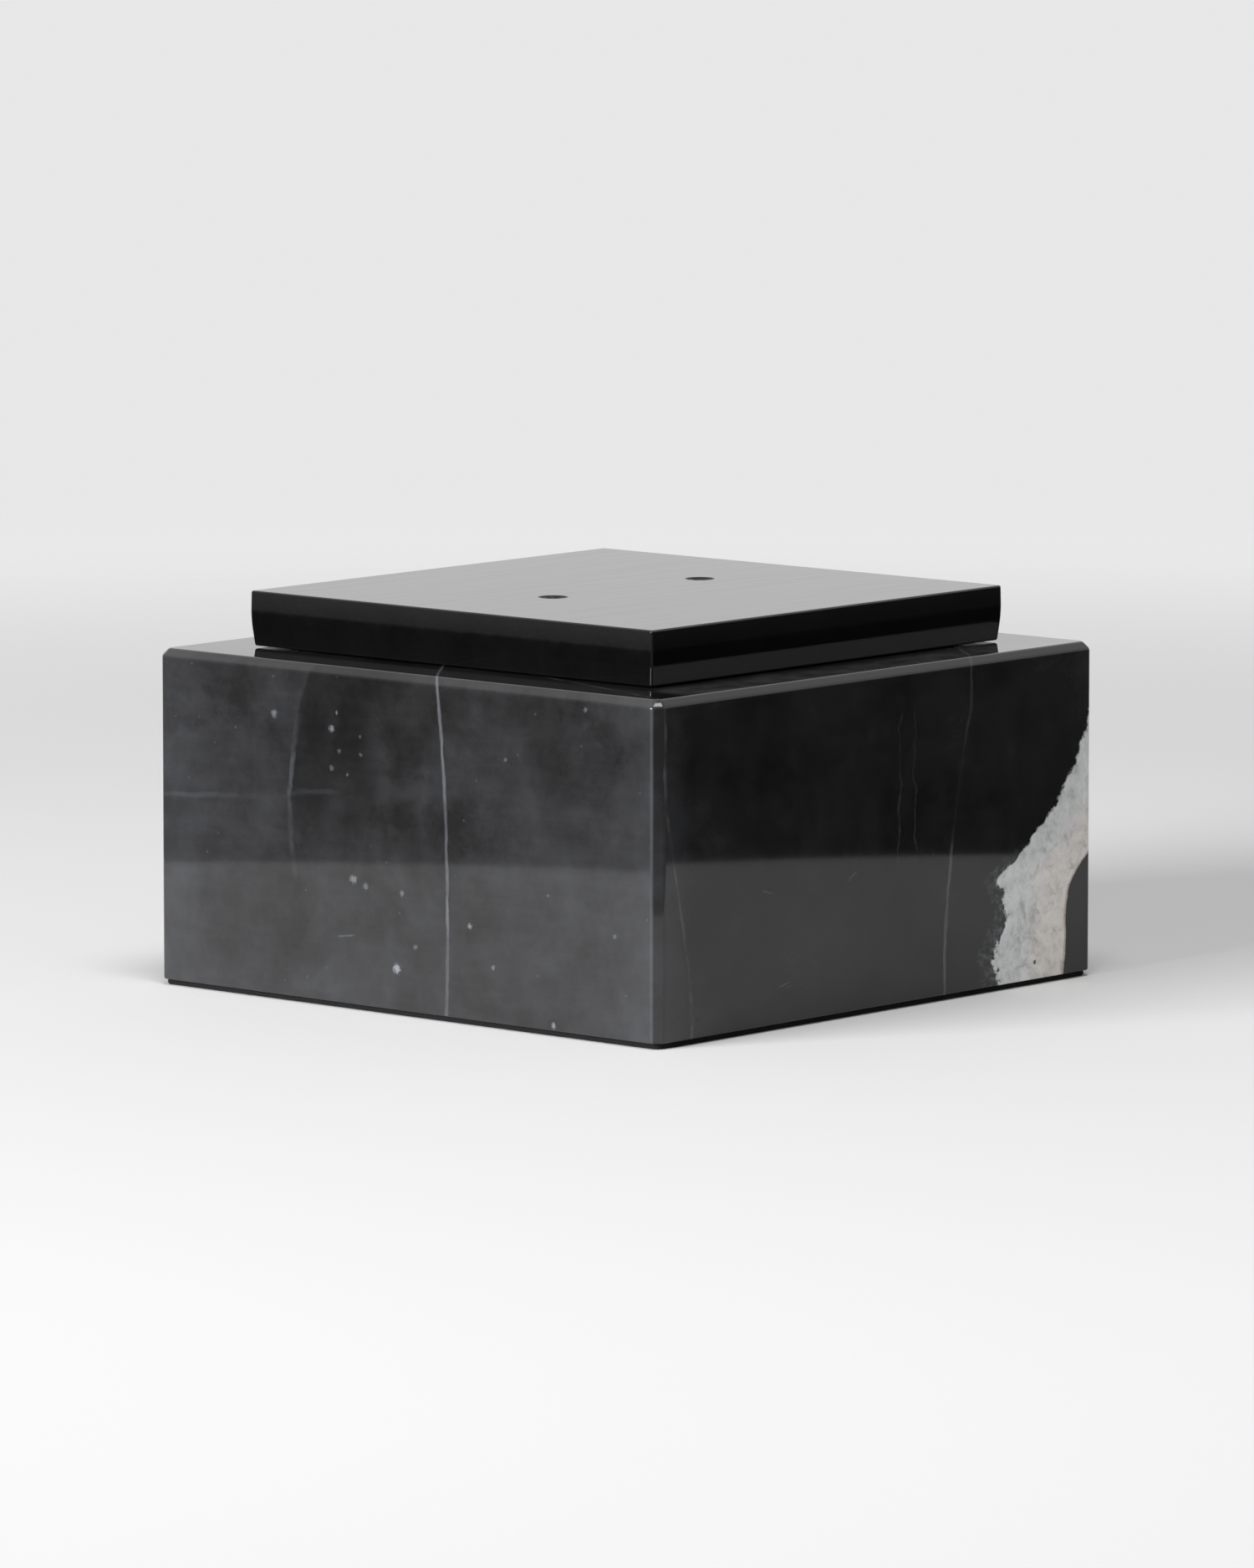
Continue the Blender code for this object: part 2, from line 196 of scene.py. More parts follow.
# The photograph's camera, in the plinth's own frame
VIEW_TURN = math.radians(48.32)
VIEW_DISTANCE = 2.339
VIEW_SIDEWAYS = 0.0145
VIEW_HEIGHT = 0.348
LENS = 240.0
SENSOR_WIDTH = 36.0
CLIP_START = 0.05
CLIP_END = 50.0
VIEW_AHEAD = Vector((math.sin(VIEW_TURN), math.cos(VIEW_TURN), 0.0))
VIEW_RIGHT = Vector((math.cos(VIEW_TURN), -math.sin(VIEW_TURN), 0.0))

# Studio: the place, size and power of each light, what they point at, and the floor
SIDE_SOFTBOX = ((-2.9, 0.6, 0.76), (1.7, 1.3), 162.0)
TOP_SOFTBOX = ((-0.36, -0.47, 1.6), (0.6, 0.6), 11.0)
LIGHT_TARGET = (0.0, 0.0, 0.04)
FLOOR_RADIUS = 0.308
FLOOR_SPREAD = 40.0
FLOOR_SIDES = 160


class Wire:
    """A socket in a node tree, with the sums that a pattern is worked out by."""

    def __init__(self, tree, socket=None):
        self.tree = tree
        self.socket = socket

    def node(self, kind, settings=None, sockets=None, out=0):
        """Adds a node, sets it up, fills its sockets and gives back one of its outputs."""
        made = self.tree.nodes.new("ShaderNode" + kind)
        for name, value in (settings or {}).items():
            if name == "stops":
                ramp = made.color_ramp
                while len(ramp.elements) < len(value):
                    ramp.elements.new(0.5)
                for element, (position, colour) in zip(ramp.elements, value):
                    element.position = position
                    element.color = (*colour, 1.0)
            elif name == "points":
                curve = made.mapping.curves[0]
                while len(curve.points) < len(value):
                    curve.points.new(0.5, 0.5)
                for point, place in zip(curve.points, value):
                    point.location = place
                made.mapping.update()
            else:
                setattr(made, name, value)
        for name, value in (sockets or {}).items():
            if isinstance(value, Wire):
                self.tree.links.new(value.socket, made.inputs[name])
            elif isinstance(value, tuple) and made.inputs[name].type == "RGBA":
                made.inputs[name].default_value = (*value, 1.0)
            else:
                made.inputs[name].default_value = value
        return Wire(self.tree, made.outputs[out])

    def maths(self, operation, *values):
        return self.node("Math", {"operation": operation}, dict(enumerate(values)))

    def __add__(self, other):
        return self.maths("ADD", self, other)

    def __radd__(self, other):
        return self.maths("ADD", other, self)

    def __sub__(self, other):
        return self.maths("SUBTRACT", self, other)

    def __rsub__(self, other):
        return self.maths("SUBTRACT", other, self)

    def __mul__(self, other):
        return self.maths("MULTIPLY", self, other)

    def __rmul__(self, other):
        return self.maths("MULTIPLY", other, self)

    def __truediv__(self, other):
        return self.maths("DIVIDE", self, other)

    def __abs__(self):
        return self.maths("ABSOLUTE", self)

    def larger(self, other):
        return self.maths("MAXIMUM", self, other)

    def smaller(self, other):
        return self.maths("MINIMUM", self, other)

    def rise(self, low, high):
        """0 below low and 1 above high, with a smooth step between them."""
        return self.node(
            "MapRange",
            {"interpolation_type": "SMOOTHSTEP"},
            {"Value": self, "From Min": low, "From Max": high},
        )

    def fall(self, low, high):
        return 1 - self.rise(low, high)

    def curve(self, *points):
        """A smooth curve through points that are given as this value and the result."""
        return self.node("FloatCurve", {"points": points}, {"Value": self})

    def ramp(self, *stops):
        """A colour that is picked by this value."""
        return self.node("ValToRGB", {"stops": stops}, {0: self})

    def parts(self):
        """The three components of a vector."""
        split = self.node("SeparateXYZ", sockets={0: self}).socket.node
        return [Wire(self.tree, socket) for socket in split.outputs]

    def vector(self, operation, *other, out=0):
        return self.node("VectorMath", {"operation": operation}, {0: self, 1: other}, out=out)

    def stretched(self, x, y, z):
        return self.vector("MULTIPLY", x, y, z)

    def moved(self, x, y, z):
        return self.vector("ADD", x, y, z)

    def distance(self, x, y, z):
        return self.vector("DISTANCE", x, y, z, out="Value")

    def noise(self, scale, detail=3.0, roughness=0.5, distortion=0.0):
        return self.node(
            "TexNoise",
            sockets={
                "Vector": self,
                "Scale": scale,
                "Detail": detail,
                "Roughness": roughness,
                "Distortion": distortion,
            },
        )

    def colour(self, other, factor):
        """This colour turned towards another one by a factor."""
        sockets = {0: factor, 6: self, 7: other}
        return self.node("Mix", {"data_type": "RGBA"}, sockets, out=2)


def new_surface(name):
    """A material, its shader, and the place on the piece in millimetres."""
    material = bpy.data.materials.new(name)
    material.use_nodes = True
    tree = material.node_tree
    shader = tree.nodes["Principled BSDF"]
    place = Wire(tree).node("TexCoord", out="Object")
    millimetres = place.node("VectorMath", {"operation": "SCALE"}, {0: place, "Scale": 1 / MM})
    return material, shader, millimetres


def connect(shader, name, wire):
    wire.tree.links.new(wire.socket, shader.inputs[name])


def bumped(shader, height, distance):
    sockets = {"Height": height, "Distance": distance, "Strength": 1.0}
    connect(shader, "Normal", height.node("Bump", sockets=sockets))


def behind_sides(place):
    """How far a place lies behind the sides of the stone that face -X and -Y."""
    x, y, _ = place.parts()
    return x - block_low.x / MM, y - block_low.y / MM


def wander(place):
    """The slow and the quick part of how a vein wanders."""
    drift = place.noise(0.05, 3.0, 0.5) - 0.5
    shiver = place.noise(0.35, 3.0, 0.6) - 0.5
    kink = place.moved(0.0, 0.0, 90.0).noise(0.14, 3.0, 0.6) - 0.5
    return 2.6 * drift + 1.3 * shiver, kink


def second_vein(place):
    """The distance from the sheet of the second vein, which also bounds a darker cloud."""
    wobble, kink = wander(place)
    _, y, z = place.parts()
    behind_x, _ = behind_sides(place)
    up = z - 44.0
    return y - 33.9 + 0.0062 * up * up + 0.22 * behind_x + 0.3 * wobble + 2.0 * kink


def veins_and_arris_highlight(place):
    """Thin white veins: each one is a wandering sheet through the stone. Also a painted highlight
    along the edge by the near chamfer.
    """
    x, y, z = place.parts()
    behind_x, behind_y = behind_sides(place)
    wobble, kink = wander(place)
    height = z / CURVE_HEIGHT
    thick = 0.4 + 1.2 * place.noise(0.13, 2.0, 0.5)
    broken = place.moved(0.0, 80.0, 0.0).noise(0.09, 3.0, 0.6).rise(0.3, 0.62)
    patchy = place.moved(50.0, 0.0, 30.0).noise(0.16, 2.0, 0.5).rise(0.38, 0.6)
    wispy = place.moved(0.0, 0.0, 40.0).noise(0.45, 4.0, 0.7).rise(0.36, 0.62)
    swing = place.moved(0.0, 30.0, 200.0).noise(0.12, 3.0, 0.6) - 0.5
    sway = 0.3 * wobble

    def vein(distance, width, strength, present):
        return (abs(distance) / thick).fall(0.25 * width, width) * strength * present

    up = z - 22.0
    main = y + 13.5 - 0.0011 * up * up - 0.8 * behind_x + sway + 0.8 * kink
    present = (0.45 + 0.55 * broken) * (1 - 0.24 * z.fall(12.0, 26.0))
    veins = vein(main, 0.6, 0.12, present)

    present = height.curve(
        (0.35, 0.0), (0.42, 0.5), (0.54, 0.5), (0.6, 1.0), (0.68, 1.0), (0.74, 0.4), (0.92, 0.06)
    )
    present = present * (0.2 + 0.45 * patchy + 0.35 * wispy)
    fan = 0.75 + 0.9 * z.rise(54.0, 70.0)
    veins = veins.larger(vein(second_vein(place) / fan, 1.3, 0.046, present))

    level = z - 43.4 - 0.066 * (74.0 - y) - 1.4 * y.fall(31.0, 35.0) + 0.18 * behind_x
    present = 1.45 - 0.85 * y.rise(31.0, 37.0) + 1.4 * y.rise(46.0, 58.0)
    present = present * y.rise(17.0, 23.0) * (0.55 + 0.45 * patchy)
    veins = veins.larger(vein(level + sway + 0.9 * kink, 0.85, 0.0102, present))

    corner = x + 64.1 + 8.7 * z.rise(5.0, 62.0) - 0.3 * behind_y + 0.4 * wobble + 1.0 * kink
    veins = veins.larger(vein(corner, 0.64, 0.06, 0.2 + 0.8 * patchy))

    low_part = z.smaller(66.0)
    right = x - 21.85 - 0.0021 * low_part * low_part - 0.9 * behind_y + 0.4 * wobble + 1.2 * kink
    present = height.curve(
        (0.0, 1.0), (0.38, 1.0), (0.5, 0.12), (0.7, 0.12), (0.78, 0.4), (1.0, 0.4)
    )
    veins = veins.larger(vein(right, 0.72, 0.11, present * (0.6 + 0.4 * broken)))

    lean = 0.25 * behind_y
    middle_part = z.rise(31.0, 37.0) * z.fall(65.0, 70.0) * (0.6 + 0.7 * z.fall(46.0, 54.0))
    for along, bend in ((6.5, 7.0 * kink), (11.5, 7.0 * swing)):
        strand = x - along + lean + bend
        veins = veins.larger(vein(strand, 0.5, 0.03, middle_part * (0.4 + 0.6 * wispy)))

    # Painted highlight: the edge between the side that faces -X and the near chamfer is made a
    # little paler
    arris_highlight = behind_x.fall(0.05, 0.3) * behind_y.rise(1.5, 1.9) * behind_y.fall(2.2, 2.6)
    return veins.larger(0.035 * arris_highlight)


def marble_tone(place, grain):
    """Cloudy grey, with a darker cloud between the second vein and the main one. Painted light,
    reflection and shade are added on the sides and the near chamfer.
    """
    x, y, z = place.parts()
    behind_x, behind_y = behind_sides(place)
    cloud = place.moved(30.0, 0.0, 0.0).noise(0.04, 5.0, 0.6, 0.4)
    smoke = place.moved(140.0, 60.0, 20.0).noise(0.12, 5.0, 0.65, 0.3)
    layers = place.stretched(0.25, 0.12, 1.0).noise(0.5, 4.0, 0.65)
    ragged = 14.0 * (smoke - 0.5)
    near_side = behind_x.fall(15.0, 60.0)
    dark = second_vein(place).fall(-0.8, 0.3) * (y + ragged).rise(6.0, 15.0)
    dark = dark * (z + 0.5 * ragged).rise(34.0, 60.0)
    long_clouds = place.stretched(1.0, CLOUD_SQUEEZE, 1.0)
    for along, up, radius in DARK_CLOUDS:
        away = long_clouds.distance(block_low.x / MM, CLOUD_SQUEEZE * along, up)
        dark = dark.larger(0.6 * (away + 0.8 * ragged).fall(0.2 * radius, 1.6 * radius))
    tall_patch = place.stretched(1.0, 1.0, PALE_SQUEEZE)
    pale = tall_patch.distance(block_low.x / MM, 5.5, PALE_SQUEEZE * 51.0)
    pale = (pale + 0.3 * ragged).fall(1.0, 4.5)
    tone = 0.02 + 0.47 * cloud + 0.3 * smoke + 0.12 * layers + 0.06 * grain
    tone = tone + near_side * (0.05 * pale - 0.13 * dark)

    # Painted light and reflection: the sides are paler towards their ends, at mid height and low
    # down. Painted shade: the side that faces -Y is darker
    painted_side = behind_x.fall(3.0, 12.0)
    painted_light = 0.11 * abs(y).rise(56.0, 74.0) + 0.05 * z.fall(16.0, 44.0)
    painted_light = painted_light + 0.04 * y.rise(28.0, 62.0) + 0.05 * y.fall(-64.0, -36.0)
    middle = (0.01 + 0.05 * abs(y).rise(14.0, 32.0)) * z.rise(30.0, 38.0) * z.fall(50.0, 62.0)
    painted_light = painted_light + middle + 0.04 * z.fall(3.0, 14.0)
    tone = tone + painted_side * painted_light
    # Painted light: high up at its +X end, the side that faces -Y is paler
    tone = tone + 0.22 * behind_y.fall(3.0, 12.0) * x.rise(60.0, 75.0) * z.rise(52.0, 74.0)
    # Painted shade: the stone darkens away from the side that faces -X, so the side that faces -Y
    # is darker
    inside = behind_x.rise(1.0, 35.0).larger(behind_x.rise(0.5, 2.5) * z.rise(44.0, 60.0))
    tone = tone - 0.085 * inside

    # Painted dark reflection: the chamfer between the sides that face -X and -Y is made nearly as
    # dark as the cloud by the second vein
    chamfer = behind_x.rise(0.15, 0.5) * behind_y.rise(0.02, 0.2) * behind_y.fall(1.7, 2.1)
    return tone - (0.15 + 0.15 * z.rise(36.0, 62.0)) * chamfer


def marble_calcite(place):
    """White calcite at the corner between -Y and +X.

    Gives how much of it there is, its colour, its frayed edge and its rusty one.
    """
    x, _, z = place.parts()
    _, behind_y = behind_sides(place)
    wobble, _ = wander(place)
    height = z / CURVE_HEIGHT
    left_edge = CURVE_REACH * height.curve(
        (0.0, 0.43),
        (0.06, 0.393),
        (0.13, 0.398),
        (0.2, 0.433),
        (0.28, 0.425),
        (0.32, 0.41),
        (0.36, 0.46),
        (0.4, 0.505),
        (0.5, 0.6),
        (0.6, 0.67),
        (0.75, 0.728),
    )
    right_edge = CURVE_REACH * height.curve(
        (0.0, 0.6375), (0.1, 0.65), (0.22, 0.652), (0.27, 0.662), (0.36, 0.735), (0.6, 1.0)
    )
    lean = 0.55 * behind_y
    lumps = 6.0 * (place.noise(0.35, 4.0, 0.6) - 0.5)
    fray = place.moved(0.0, 40.0, 0.0).noise(0.25, 6.0, 0.7) - 0.5
    frayed = lumps + 7.0 * z.fall(22.0, 32.0) * fray
    into = x - left_edge - lean + frayed
    out_of = right_edge + lean - x + 0.5 * wobble
    clean = out_of.rise(-0.15, 0.25)
    amount = into.rise(-0.4, 0.6) * clean
    wisps = place.noise(0.7, 4.0, 0.7).rise(0.4, 0.68)
    feather = into.rise(-6.0, 0.0) * clean * wisps * z.fall(25.0, 34.0)
    smoke = place.moved(140.0, 60.0, 20.0).noise(0.12, 5.0, 0.65, 1.0)
    mottle = 0.65 * place.noise(0.35, 6.0, 0.66, 0.8) + 0.35 * smoke
    cool = mottle.ramp(
        (0.33, (0.4, 0.41, 0.42)),
        (0.48, (0.69, 0.7, 0.705)),
        (0.66, (0.87, 0.88, 0.88)),
    )
    warm = mottle.ramp(
        (0.33, (0.46, 0.41, 0.38)),
        (0.48, (0.75, 0.71, 0.67)),
        (0.66, (0.9, 0.86, 0.81)),
    )
    width = (into + out_of.larger(1.0)).larger(2.0)
    white = cool.colour(warm, (into / width).rise(0.2, 0.8))
    rust = amount * out_of.fall(0.2, 1.1)
    return amount, white, 0.6 * feather, 0.55 * rust


def marble_marks(place, grain):
    """White specks and scratches, fine scattered specks, and a few dark pits."""
    x, y, z = place.parts()
    behind_x, behind_y = behind_sides(place)
    rough = 0.9 * (grain - 0.5)
    uneven = place.noise(1.6, 3.0, 0.65) - 0.5
    pale = None
    for along, up, radius, bright in WHITE_SPECKS:
        away = place.distance(block_low.x / MM, along, up) + 2.4 * radius * uneven
        speck = bright * away.fall(0.3 * radius, 1.3 * radius)
        pale = speck if pale is None else pale.larger(speck)

    def scratch(across, along, up, slope, half):
        run = across - along
        rise = z - up - slope * run
        return abs(rise + rough).fall(0.05, 0.3) * abs(run).fall(0.5 * half, half)

    for mark in LEFT_SCRATCHES:
        pale = pale.larger(0.3 * scratch(y, *mark) * behind_x.fall(0.1, 0.4))
    for mark in RIGHT_SCRATCHES:
        pale = pale.larger(0.35 * scratch(x, *mark) * behind_y.fall(0.1, 0.4))
    cells = place.node("TexVoronoi", sockets={"Vector": place, "Scale": FINE_SCALE}).socket.node
    chance = Wire(place.tree, cells.outputs["Color"]).parts()[0]
    away = Wire(place.tree, cells.outputs["Distance"]) / FINE_SCALE
    fine = (away - 0.35 * chance.rise(0.9, 1.0)).fall(-0.15, 0.05) * chance.rise(0.955, 0.96)
    pits = None
    for along, up, radius in DARK_PITS:
        away = place.distance(along, block_low.y / MM, up) + rough
        pit = away.fall(0.5 * radius, radius)
        pits = pit if pits is None else pits.larger(pit)
    return (0.2 * pale).larger(0.035 * fine), pits


def black_marble():
    """Polished black marble: cloudy grey, thin white veins, specks and one white calcite mass,
    with painted light, reflection and shade.
    """
    material, shader, place = new_surface("polished black marble")
    x, y, z = place.parts()
    streak = place.stretched(1.0, 1.0, 0.08).noise(0.6, 3.0, 0.6)
    grain = place.noise(1.6, 2.0, 0.6)
    stone = marble_tone(place, grain).ramp(
        (0.33, (0.0078, 0.0078, 0.0081)),
        (0.47, (0.0157, 0.0157, 0.0164)),
        (0.62, (0.027, 0.0274, 0.0292)),
        (0.8, (0.042, 0.043, 0.047)),
    )
    # The veins also carry the painted highlight on the edge by the near chamfer
    veins = veins_and_arris_highlight(place)
    specks, pits = marble_marks(place, grain)
    calcite, white, feather, rust = marble_calcite(place)

    # The underside and the drilled holes are left unpolished, with the marks of the saw
    across = abs(x) - middle_of("stud_1").x / MM
    along = abs(y) - middle_of("stud_1").y / MM
    drilled = (across * across + along * along).fall(60.0, 64.0) * z.fall(15.2, 15.5)
    honed = drilled.larger(z.fall(1.32, 1.42))
    saw = place.stretched(1.2, 0.03, 0.03).noise(1.0, 3.0, 0.6)
    bare = saw.ramp((0.3, (0.05, 0.05, 0.05)), (0.7, (0.12, 0.12, 0.12)))

    # Painted light in patches on the ledge that faces -Y, and painted shade on the ledge that
    # faces -X
    behind_x, behind_y = behind_sides(place)
    on_top = z.rise(block_high.z / MM - 0.1, block_high.z / MM - 0.02)
    painted_ledge_light = on_top * behind_y.fall(9.0, 16.0) * place.noise(0.2, 4.0, 0.6).rise(0.2, 0.75)
    painted_ledge_shade = on_top * behind_x.fall(9.0, 16.0)

    colour = stone.colour((0.09, 0.09, 0.092), 0.42 * painted_ledge_light)
    colour = colour.colour((0.004, 0.004, 0.004), painted_ledge_shade)
    colour = colour.colour((0.6, 0.63, 0.68), veins.larger(specks))
    colour = colour.colour((0.17, 0.185, 0.2), feather)
    colour = colour.colour(white, calcite)
    colour = colour.colour((0.2, 0.13, 0.09), rust)
    colour = colour.colour((0.006, 0.006, 0.006), 0.9 * pits)
    colour = colour.colour(bare, 0.5 * honed)
    connect(shader, "Base Color", colour)
    polish = 0.03 + 0.035 * streak + 0.05 * veins + 0.06 * calcite
    connect(shader, "Roughness", polish.larger(0.5 * honed))
    shader.inputs["IOR"].default_value = STONE_IOR
    return material


def black_lacquer():
    """Gloss black lacquer with a faint pull of the brush and fine wear."""
    material, shader, place = new_surface("gloss black lacquer")
    pull = place.stretched(0.05, 1.0, 1.0).noise(0.35, 4.0, 0.6)
    peel = place.noise(0.5, 2.0, 0.5)
    tone = place.noise(0.08, 4.0, 0.6)
    colour = tone.ramp((0.3, (0.002, 0.002, 0.0021)), (0.7, (0.0034, 0.0034, 0.0036)))
    connect(shader, "Base Color", colour)
    connect(shader, "Roughness", 0.06 + 0.07 * pull.rise(0.35, 0.75))
    bumped(shader, 0.7 * peel + 0.3 * pull, 0.01 * MM)
    shader.inputs["IOR"].default_value = LACQUER_IOR
    return material


def plated_steel(name, dull, bright, least_roughness):
    """Zinc plated or blackened steel, cloudy from handling."""
    material, shader, place = new_surface(name)
    cloud = place.noise(0.6, 4.0, 0.6)
    lines = place.stretched(0.2, 0.2, 3.0).noise(2.0, 3.0, 0.6)
    connect(shader, "Base Color", cloud.ramp((0.3, dull), (0.7, bright)))
    connect(shader, "Roughness", least_roughness + 0.2 * cloud.rise(0.3, 0.7) + 0.08 * lines)
    shader.inputs["Metallic"].default_value = 1.0
    bumped(shader, lines, 0.004 * MM)
    return material


def pressed_felt():
    """Dark grey felt: short matted fibres that lie in all directions."""
    material, shader, place = new_surface("dark grey felt")
    mat = place.noise(3.0, 5.0, 0.7, 1.5)
    along = place.stretched(1.0, 0.2, 1.0).noise(6.0, 3.0, 0.7, 2.0)
    across = place.moved(20.0, 20.0, 0.0).stretched(0.2, 1.0, 1.0).noise(6.0, 3.0, 0.7, 2.0)
    worn = place.noise(0.06, 3.0, 0.6)
    tone = 0.3 * mat + 0.35 * along.larger(across) + 0.2 * along + 0.15 * worn
    colour = tone.ramp((0.36, (0.0025, 0.0025, 0.0027)), (0.66, (0.014, 0.014, 0.0147)))
    connect(shader, "Base Color", colour)
    shader.inputs["Roughness"].default_value = 0.95
    shader.inputs["Specular IOR Level"].default_value = 0.2
    shader.inputs["Sheen Weight"].default_value = 0.03
    bumped(shader, tone, 0.2 * MM)
    return material


def only_select(piece):
    bpy.ops.object.select_all(action="DESELECT")
    piece.select_set(True)
    bpy.context.view_layer.objects.active = piece


def apply_modifier(piece, kind, **settings):
    only_select(piece)
    modifier = piece.modifiers.new(kind.title(), kind)
    for name, value in settings.items():
        setattr(modifier, name, value)
    bpy.ops.object.modifier_apply(modifier=modifier.name)


def named(name):
    """The primitive that was just added, with its size and place put in its mesh."""
    piece = bpy.context.object
    piece.name = name
    bpy.ops.object.transform_apply(location=True, rotation=True, scale=True)
    return piece


def box_between(name, low, high):
    bpy.ops.object.select_all(action="DESELECT")
    bpy.ops.mesh.primitive_cube_add(size=1.0, location=(low + high) / 2, scale=high - low)
    return named(name)


def bar_between(name, low, high, radius, sides):
    """A round or many-sided bar on the Z axis between two heights."""
    bpy.ops.object.select_all(action="DESELECT")
    bpy.ops.mesh.primitive_cylinder_add(
        vertices=sides, radius=radius, depth=high - low, location=(0.0, 0.0, (low + high) / 2)
    )
    return named(name)


def edit_edges(piece, wanted):
    """Goes into edit mode with just the edges selected whose two ends pass a test."""
    only_select(piece)
    bpy.ops.object.mode_set(mode="EDIT")
    bpy.ops.mesh.select_mode(type="EDGE")
    bpy.ops.mesh.select_all(action="DESELECT")
    bpy.ops.object.mode_set(mode="OBJECT")
    points = piece.data.vertices
    for edge in piece.data.edges:
        ends = [points[number].co for number in edge.vertices]
        edge.select = wanted(*ends)
    bpy.ops.object.mode_set(mode="EDIT")


def bevel_edges(piece, wanted, width, segments, clamp=True):
    edit_edges(piece, wanted)
    bpy.ops.mesh.bevel(offset=width, segments=segments, affect="EDGES", clamp_overlap=clamp)
    bpy.ops.object.mode_set(mode="OBJECT")


def split_edges(piece, wanted, cuts):
    edit_edges(piece, wanted)
    bpy.ops.mesh.subdivide(number_cuts=cuts)
    bpy.ops.object.mode_set(mode="OBJECT")


def narrow_at(piece, height, share):
    """Draws the level edges at one height in towards the Z axis."""
    edit_edges(piece, level_at(height))
    bpy.ops.transform.resize(value=(share, share, 1.0))
    bpy.ops.object.mode_set(mode="OBJECT")


def upright(a, b):
    return abs(a.z - b.z) > TINY


def along_rim(a, b):
    """A test for the edges that run level round the Z axis."""
    return abs(a.xy.length - b.xy.length) + abs(a.z - b.z) < TINY


def level_at(*heights):
    """A test for the edges that lie level at one of some heights."""
    return lambda a, b: any(max(abs(a.z - height), abs(b.z - height)) < TINY for height in heights)


def merge_and_face_out():
    """Ends the editing of a turned shape: its seams are closed and its faces point outwards."""
    bpy.ops.mesh.select_all(action="SELECT")
    bpy.ops.mesh.remove_doubles(threshold=MERGE)
    bpy.ops.mesh.normals_make_consistent(inside=False)
    bpy.ops.object.mode_set(mode="OBJECT")


def outline_of(name, places):
    """A line through places that are given as radius and height, left in edit mode."""
    radius, height = places[0]
    bpy.ops.object.select_all(action="DESELECT")
    bpy.ops.mesh.primitive_plane_add(size=MM, location=(radius, 0.0, height))
    piece = named(name)
    bpy.ops.object.mode_set(mode="EDIT")
    bpy.ops.mesh.select_mode(type="VERT")
    bpy.ops.mesh.select_all(action="SELECT")
    bpy.ops.mesh.merge(type="CENTER")
    for (radius, height), (next_radius, next_height) in zip(places, places[1:]):
        step = (next_radius - radius, 0.0, next_height - height)
        bpy.ops.mesh.extrude_region_move(TRANSFORM_OT_translate={"value": step})
    return piece


def turned(name, places):
    """An outline that is turned about the Z axis."""
    piece = outline_of(name, places)
    bpy.ops.mesh.select_all(action="SELECT")
    bpy.ops.mesh.spin(steps=HOLE_SIDES, angle=2 * math.pi, center=ORIGIN, axis=UPWARDS)
    merge_and_face_out()
    return piece


def combine(piece, other, operation):
    apply_modifier(piece, "BOOLEAN", operation=operation, solver="EXACT", object=other)


def cut(piece, cutter, places=(Vector(ORIGIN),)):
    """Cuts one shape out of a piece at one place or more, and throws the cutter away."""
    for place in places:
        cutter.location = (place.x, place.y, 0.0)
        combine(piece, cutter, "DIFFERENCE")
    bpy.data.objects.remove(cutter)


def trim(piece, envelope):
    """Keeps what lies inside an envelope, and throws the envelope away."""
    combine(piece, envelope, "INTERSECT")
    bpy.data.objects.remove(envelope)


def threaded(name, radius, pitch, low, high):
    """A rod with a helical thread, cut off square at two heights."""
    root = radius - THREAD_DEPTH * pitch
    start = low - pitch
    places = [
        (root, start),
        (root, start - pitch / 4),
        (radius, start - pitch * 9 / 16),
        (radius, start - pitch * 11 / 16),
        (root, start - pitch),
    ]
    rod = outline_of(name, places)
    bpy.ops.object.mode_set(mode="OBJECT")
    apply_modifier(
        rod,
        "SCREW",
        screw_offset=pitch,
        iterations=math.ceil((high - low) / pitch) + SPARE_TURNS,
        steps=THREAD_STEPS,
        render_steps=THREAD_STEPS,
    )
    bpy.ops.object.mode_set(mode="EDIT")
    bpy.ops.mesh.select_all(action="SELECT")
    bpy.ops.mesh.remove_doubles(threshold=MERGE)
    bpy.ops.mesh.bisect(
        plane_co=(0.0, 0.0, low), plane_no=UPWARDS, use_fill=True, clear_inner=True
    )
    bpy.ops.mesh.select_all(action="SELECT")
    bpy.ops.mesh.bisect(
        plane_co=(0.0, 0.0, high), plane_no=UPWARDS, use_fill=True, clear_outer=True
    )
    merge_and_face_out()
    return rod


def chamfered_rod(name, radius, low, high, chamfer):
    return turned(
        name,
        [
            (0.0, high),
            (radius - chamfer, high),
            (radius, high - chamfer),
            (radius, low + chamfer),
            (radius - chamfer, low),
            (0.0, low),
        ],
    )


def soften(piece):
    """Smooth shading on the rounded edges that leaves the flats flat."""
    only_select(piece)
    bpy.ops.object.shade_smooth_by_angle(angle=SMOOTH_ANGLE)
    apply_modifier(piece, "WEIGHTED_NORMAL", keep_sharp=True, weight=100)


def middle_of(node):
    low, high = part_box(node)
    return (low + high) / 2


def numbered(name):
    return [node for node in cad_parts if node.startswith(name + "_")]


stud_places = [middle_of(node) for node in numbered("stud")]
exhibit_places = [middle_of(node) for node in numbered("exhibit_screw")]


def dress(piece, material, slot, *nodes):
    """Gives a new piece its finish, and puts it in the place of its solids."""
    piece.data.materials.clear()
    piece.data.materials.append(material)
    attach(piece, BODY)
    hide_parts(*nodes)


